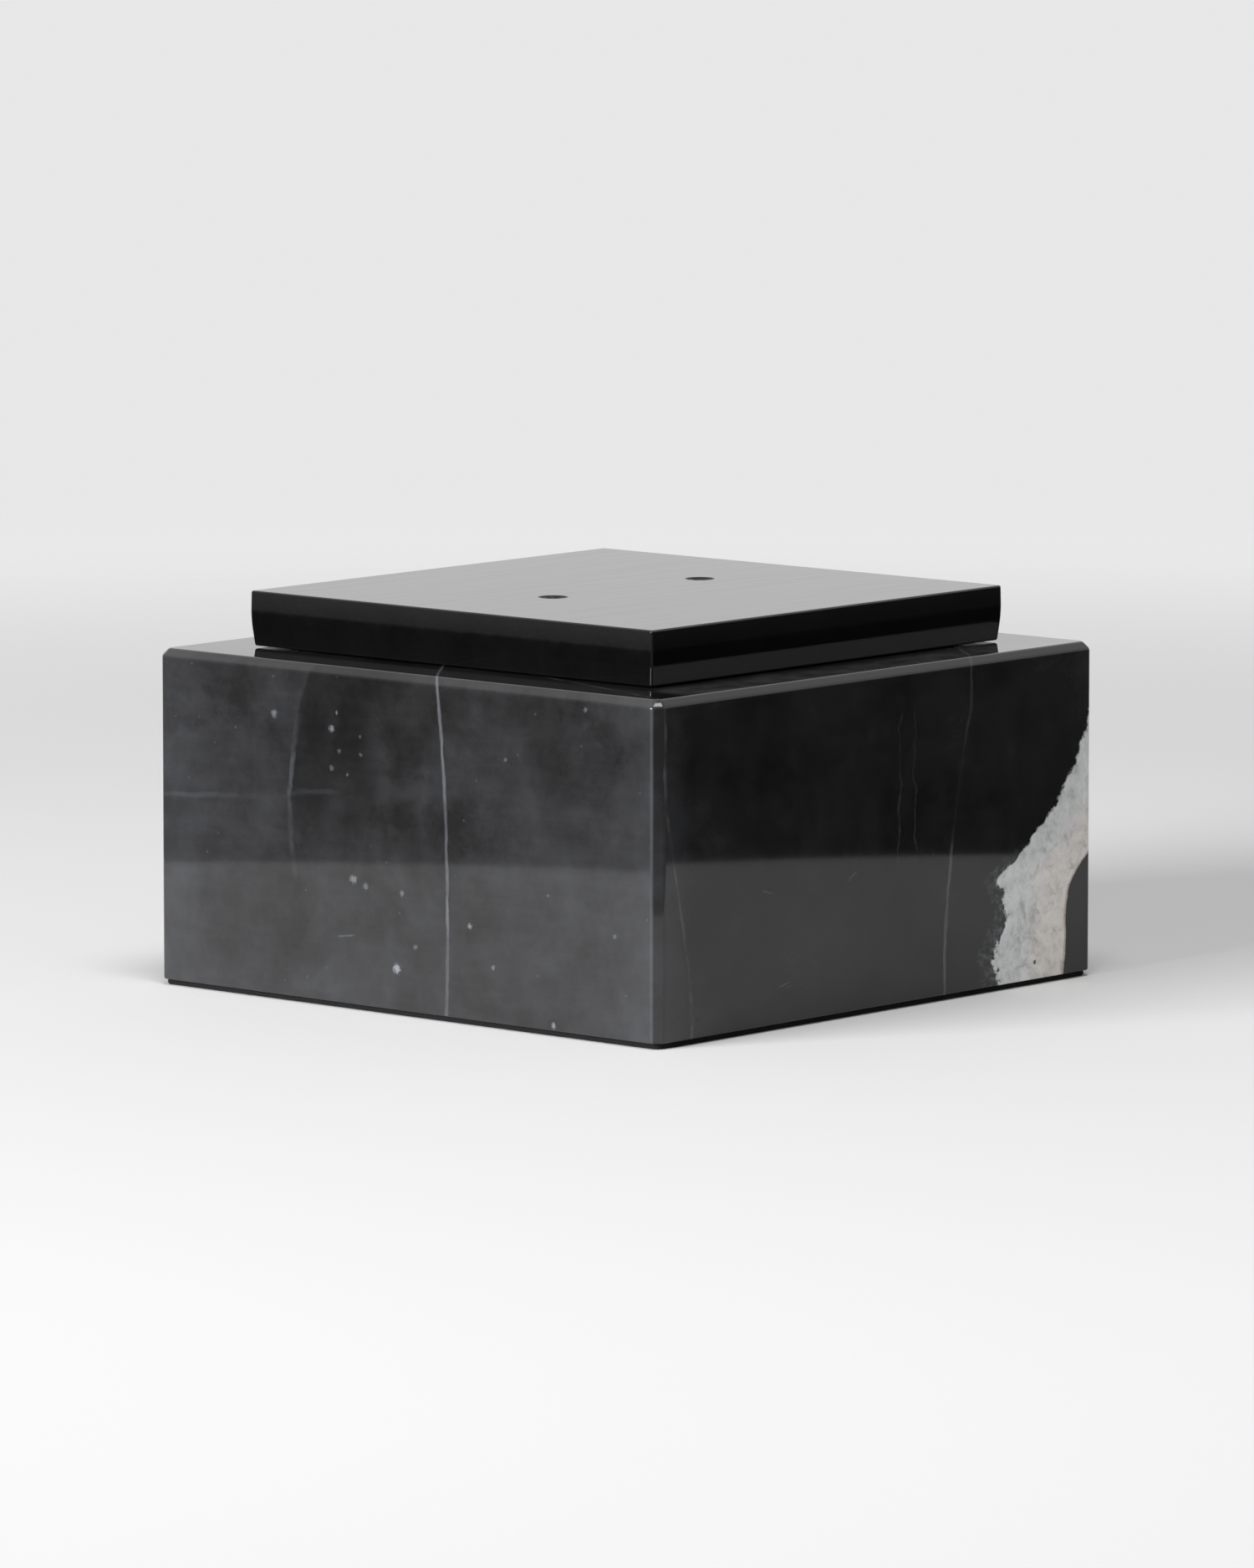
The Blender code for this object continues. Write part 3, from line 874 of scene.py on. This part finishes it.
def dress_copies(pattern, name, material, slot):
    """Puts a copy with its own mesh in the place of each solid of one kind, facing outwards."""
    soften(pattern)
    for node in numbered(name):
        place = middle_of(node)
        only_select(pattern)
        bpy.ops.object.duplicate(linked=False)
        copy = bpy.context.object
        copy.name = node + "_dressed"
        copy.location = (place.x, place.y, 0.0)
        copy.rotation_euler.z = math.atan2(place.y, place.x)
        bpy.ops.object.transform_apply(location=True, rotation=True, scale=True)
        dress(copy, material, slot, node)
    bpy.data.objects.remove(pattern)


def model_block(material):
    """The stone with softened chamfers and a stepped hole for each stud."""
    block = box_between("marble_block_dressed", block_low, block_high)
    at_foot = level_at(block_low.z)
    bevel_edges(block, upright, BLOCK_CHAMFER, 1)
    bevel_edges(block, level_at(block_high.z), BLOCK_TOP_CHAMFER, 1)
    bevel_edges(block, lambda a, b: not at_foot(a, b), BLOCK_ARRIS, 4)
    bevel_edges(block, at_foot, BLOCK_FOOT_ROUND, 3, clamp=False)
    hole = stud_radius + STONE_CLEARANCE
    counterbore = washer_radius + COUNTERBORE_CLEARANCE
    mouth = counterbore + COUNTERBORE_MOUTH
    stepped = [
        (0.0, block_high.z + OVERCUT),
        (hole, block_high.z + OVERCUT),
        (hole, washer_high.z + SEAT_GAP),
        (counterbore, washer_high.z + SEAT_GAP),
        (counterbore, block_low.z + COUNTERBORE_MOUTH),
        (mouth, block_low.z),
        (mouth, block_low.z - OVERCUT),
        (0.0, block_low.z - OVERCUT),
    ]
    cut(block, turned("stone_hole", stepped), stud_places)
    soften(block)
    dress(block, material, "marble", "marble_block")


def model_plate(material):
    """The plate with its ridged sides, rounded edges and tapped holes."""
    plate = box_between("mounting_plate_dressed", plate_low, plate_high)
    split_edges(plate, upright, 1)
    half = (plate_high - plate_low) / 2
    ridge = plate_low.z + PLATE_RIDGE
    edit_edges(plate, level_at(plate_low.z + half.z))
    bpy.ops.transform.translate(value=(0.0, 0.0, PLATE_RIDGE - half.z))
    bpy.ops.object.mode_set(mode="OBJECT")
    for height, inset in ((plate_low.z, PLATE_UNDERCUT), (plate_high.z, PLATE_DRAFT)):
        narrow_at(plate, height, 1 - inset / half.x)
    at_face = level_at(plate_low.z, plate_high.z)
    bevel_edges(plate, lambda a, b: upright(a, b) or at_face(a, b), PLATE_ARRIS, 4)
    bevel_edges(plate, level_at(ridge), RIDGE_ROUND, 6)
    tapped = stud_radius + THREAD_GAP
    blind = [
        (0.0, stud_high.z + tapped),
        (tapped, stud_high.z + SEAT_GAP),
        (tapped, plate_low.z - OVERCUT),
        (0.0, plate_low.z - OVERCUT),
    ]
    cut(plate, turned("blind_hole", blind), stud_places)
    tapped = screw_radius + THREAD_FIT
    through = [
        (0.0, plate_high.z + OVERCUT),
        (tapped + EXHIBIT_MOUTH, plate_high.z + OVERCUT),
        (tapped + EXHIBIT_MOUTH, plate_high.z),
        (tapped, plate_high.z - EXHIBIT_MOUTH),
        (tapped, plate_low.z - OVERCUT),
        (0.0, plate_low.z - OVERCUT),
    ]
    cut(plate, turned("exhibit_hole", through), exhibit_places)
    soften(plate)
    dress(plate, material, "black_lacquer", "mounting_plate")


def model_felt(material):
    """The felt sheet that the stone stands on, with a cut rim that is a little frayed."""
    low = felt_low
    high = Vector((felt_high.x, felt_high.y, block_low.z - SEAM))
    felt = box_between("felt_base_dressed", low, high)
    bevel_edges(felt, upright, FELT_CORNER, 4)
    split_edges(felt, lambda a, b: not upright(a, b) and (a - b).length > FELT_CORNER, FELT_STRIPS)
    split_edges(felt, upright, FELT_LAYERS)
    for height in (low.z, high.z):
        narrow_at(felt, height, 1 - FELT_PULL / high.x)
    edit_edges(felt, lambda a, b: min(a.z, b.z) > low.z + TINY and max(a.z, b.z) < high.z - TINY)
    bpy.ops.transform.vertex_random(offset=FELT_FRAY, seed=FRAY_SEED)
    bpy.ops.object.mode_set(mode="OBJECT")
    hole = washer_radius + FELT_CLEARANCE
    punch = bar_between("felt_punch", low.z - OVERCUT, high.z + OVERCUT, hole, HOLE_SIDES)
    cut(felt, punch, stud_places)
    soften(felt)
    dress(felt, material, "felt", "felt_base")


def model_studs(material):
    """Threaded rods with chamfered ends."""
    low, high = stud_low.z, stud_high.z
    stud = threaded("stud_pattern", stud_radius, STUD_PITCH, low - OVERCUT, high + OVERCUT)
    trim(stud, chamfered_rod("stud_envelope", stud_radius + TINY, low, high, STUD_CHAMFER))
    dress_copies(stud, "stud", material, "zinc_steel")


def model_nuts(material):
    """Hexagons whose corners are turned off at both ends, with a countersunk hole."""
    low, high = nut_low.z, nut_high.z
    nut = bar_between("nut_pattern", low, high, NUT_CORNER_RADIUS, 6)
    bevel_edges(nut, upright, NUT_ARRIS, 2)
    reach = NUT_CORNER_RADIUS + OVERCUT
    drop = (reach - NUT_FACE_RADIUS) * math.tan(NUT_SLOPE)
    turned_off = [
        (0.0, high),
        (NUT_FACE_RADIUS, high),
        (reach, high - drop),
        (reach, low + drop),
        (NUT_FACE_RADIUS, low),
        (0.0, low),
    ]
    trim(nut, turned("nut_envelope", turned_off))
    bore = stud_radius + THREAD_FIT
    mouth = bore + NUT_MOUTH
    hole = [
        (0.0, high + OVERCUT),
        (mouth, high + OVERCUT),
        (mouth, high),
        (bore, high - NUT_MOUTH),
        (bore, low + NUT_MOUTH),
        (mouth, low),
        (mouth, low - OVERCUT),
        (0.0, low - OVERCUT),
    ]
    cut(nut, turned("nut_hole", hole))
    dress_copies(nut, "hex_nut", material, "zinc_steel")


def ring_between(name, low, high, inner, outer, rounding):
    """A flat ring with rounded edges."""
    ring = turned(name, [(inner, low), (outer, low), (outer, high), (inner, high), (inner, low)])
    bevel_edges(ring, along_rim, rounding, 3)
    return ring


def model_flat_washers(material):
    low, high = washer_low.z, washer_high.z
    hole = stud_radius + THREAD_GAP
    washer = ring_between("washer_pattern", low, high, hole, washer_radius, WASHER_ROUND)
    dress_copies(washer, "flat_washer", material, "zinc_steel")


def model_spring_washers(material):
    """Rings with one slanted slit, on the side that faces outwards."""
    low, high = spring_low.z, spring_high.z
    hole = stud_radius + THREAD_GAP
    washer = ring_between("spring_pattern", low, high, hole, spring_radius, SPRING_ROUND)
    slit_low = Vector((0.0, -SPRING_SLIT / 2, low - OVERCUT))
    slit_high = Vector((spring_radius + OVERCUT, SPRING_SLIT / 2, high + OVERCUT))
    slit = box_between("slit", slit_low, slit_high)
    only_select(slit)
    slit.rotation_euler.x = SPRING_SLANT
    middle = Vector((0.0, 0.0, (low + high) / 2))
    slit.location = middle - slit.rotation_euler.to_matrix() @ middle
    bpy.ops.object.transform_apply(location=True, rotation=True, scale=True)
    cut(washer, slit)
    dress_copies(washer, "spring_washer", material, "spring_steel")


def model_exhibit_screws(material):
    """Headless screws with a hexagon socket, which close the two holes in the plate."""
    low, high = screw_low.z, screw_high.z
    screw = threaded("screw_pattern", screw_radius, SCREW_PITCH, low - OVERCUT, high + OVERCUT)
    trim(screw, chamfered_rod("screw_envelope", screw_radius + TINY, low, high, SCREW_CHAMFER))
    corner = HEX_CORNER_RADIUS
    end = high - HEX_DEPTH
    cut(screw, bar_between("hex_socket", end, high + OVERCUT, corner, 6))
    drill = [
        (0.0, high + OVERCUT),
        (corner + HEX_MOUTH + OVERCUT, high + OVERCUT),
        (HEX_KEY / 2, high - corner - HEX_MOUTH + HEX_KEY / 2),
        (HEX_KEY / 2 - TINY, end),
        (0.0, end - HEX_TIP),
    ]
    cut(screw, turned("drill", drill))
    only_select(screw)
    bpy.ops.object.mode_set(mode="EDIT")
    merge_and_face_out()
    dress_copies(screw, "exhibit_screw", material, "black_steel")


def aim(thing, target):
    thing.rotation_mode = "QUATERNION"
    thing.rotation_quaternion = (Vector(target) - thing.location).to_track_quat("-Z", "Y")


def add_camera():
    data = bpy.data.cameras.new("camera")
    data.lens = LENS
    data.sensor_width = SENSOR_WIDTH
    data.clip_start = CLIP_START
    data.clip_end = CLIP_END
    camera = bpy.data.objects.new("camera", data)
    bpy.context.scene.collection.objects.link(camera)
    camera.location = (
        -VIEW_DISTANCE * VIEW_AHEAD - VIEW_SIDEWAYS * VIEW_RIGHT + Vector((0.0, 0.0, VIEW_HEIGHT))
    )
    aim(camera, (cad_low + cad_high) / 2)
    bpy.context.scene.camera = camera


def add_lamp(name, place, size, watts):
    """A soft rectangular light that points at the plinth."""
    data = bpy.data.lights.new(name, "AREA")
    data.shape = "RECTANGLE"
    data.size, data.size_y = size
    data.energy = watts
    lamp = bpy.data.objects.new(name, data)
    bpy.context.scene.collection.objects.link(lamp)
    lamp.location = place
    lamp.visible_camera = False
    aim(lamp, LIGHT_TARGET)


def floor_surface():
    material = bpy.data.materials.new("pale floor")
    material.use_nodes = True
    shader = material.node_tree.nodes["Principled BSDF"]
    shader.inputs["Base Color"].default_value = (0.81, 0.81, 0.81, 1.0)
    shader.inputs["Roughness"].default_value = 0.9
    shader.inputs["Specular IOR Level"].default_value = 0.1
    place = Wire(material.node_tree).node("TexCoord", out="Object")
    connect(shader, "Alpha", place.distance(*ORIGIN).fall(0.35, 1.1))
    return material


def add_floor():
    """A pale disc under the plinth, and round it a floor that only the camera sees."""
    circles = []
    for name, filling in (("floor_near", "NGON"), ("floor_far", "NOTHING")):
        bpy.ops.object.select_all(action="DESELECT")
        bpy.ops.mesh.primitive_circle_add(
            vertices=FLOOR_SIDES, radius=FLOOR_RADIUS, fill_type=filling
        )
        bpy.context.object.name = name
        circles.append(bpy.context.object)
    near, far = circles
    bpy.ops.object.mode_set(mode="EDIT")
    bpy.ops.mesh.select_all(action="SELECT")
    bpy.ops.mesh.extrude_region_move()
    bpy.ops.transform.resize(value=(FLOOR_SPREAD, FLOOR_SPREAD, 1.0))
    bpy.ops.object.mode_set(mode="OBJECT")
    surface = floor_surface()
    for floor in (near, far):
        floor.data.materials.append(surface)
    far.visible_glossy = False
    far.visible_diffuse = False
    far.visible_transmission = False
    far.visible_shadow = False


def add_world():
    """A pale backdrop ahead and behind, a faint glow at both sides, and a bright ceiling."""
    world = bpy.data.worlds.new("studio")
    world.use_nodes = True
    bpy.context.scene.world = world
    tree = world.node_tree
    start = Wire(tree)
    direction = start.node("TexCoord", out="Generated")
    x, y, z = direction.parts()
    along = x * VIEW_AHEAD.x + y * VIEW_AHEAD.y
    across = x * VIEW_RIGHT.x + y * VIEW_RIGHT.y
    backdrop = 0.85 * along.rise(0.3, 0.75) + 0.2 * along.fall(-0.75, -0.3)
    glow = 0.52 * across.fall(-0.9, -0.6) + 0.07 * across.rise(0.6, 0.9)
    glow = glow * z.rise(-0.13, -0.05) * z.fall(0.07, 0.2)
    ceiling = z.rise(0.225, 0.47).larger(across.rise(0.6, 0.9) * z.rise(0.14, 0.28))
    path = start.node("LightPath").socket.node
    seen = Wire(tree, path.outputs["Is Camera Ray"])
    scattered = Wire(tree, path.outputs["Is Diffuse Ray"])
    overhead = 0.9 - 0.68 * scattered
    light = (0.012 + backdrop + glow) * (1 - ceiling) + overhead * ceiling
    strength = light * (1 - seen) + 0.8 * seen
    shader = tree.nodes["Background"]
    shader.inputs["Color"].default_value = (1.0, 1.0, 1.0, 1.0)
    tree.links.new(strength.socket, shader.inputs["Strength"])


bpy.context.scene.view_settings.view_transform = "Standard"
add_camera()
add_floor()
add_world()
add_lamp("side_softbox", *SIDE_SOFTBOX)
add_lamp("top_softbox", *TOP_SOFTBOX)

zinc = plated_steel("zinc plated steel", (0.42, 0.42, 0.4), (0.62, 0.62, 0.6), 0.22)
model_block(black_marble())
model_plate(black_lacquer())
model_felt(pressed_felt())
model_studs(zinc)
model_nuts(zinc)
model_flat_washers(zinc)
spring = plated_steel("spring steel", (0.2, 0.2, 0.2), (0.34, 0.34, 0.34), 0.28)
model_spring_washers(spring)
oxide = plated_steel("black oxide steel", (0.012, 0.012, 0.012), (0.035, 0.035, 0.035), 0.3)
model_exhibit_screws(oxide)
